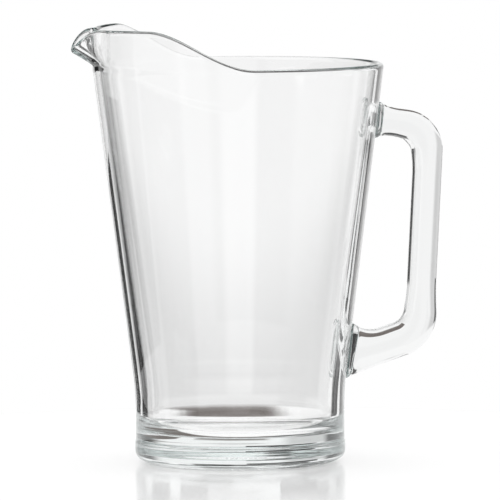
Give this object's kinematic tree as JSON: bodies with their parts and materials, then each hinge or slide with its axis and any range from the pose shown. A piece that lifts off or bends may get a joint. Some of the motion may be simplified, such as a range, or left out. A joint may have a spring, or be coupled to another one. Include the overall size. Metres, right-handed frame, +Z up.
{
  "type": "glass beer pitcher",
  "caption": "Clear glass pitcher with a flared round body, a heavy foot, a pulled pouring lip and a solid bent glass handle fused to the wall.",
  "frame": {"origin": "centre of the standing ring under the base, on the table", "axes": "+Z up along the axis of the body, -X towards the spout, +X towards the handle"},
  "size_m": [0.198, 0.1528, 0.2295],
  "materials": {
    "body_glass": "clear fire-polished soda-lime glass",
    "handle_glass": "clear fire-polished soda-lime glass"
  },
  "bodies": {
    "root": {"pitcher_body": "body_glass", "handle": "handle_glass"}
  },
  "joints": []
}
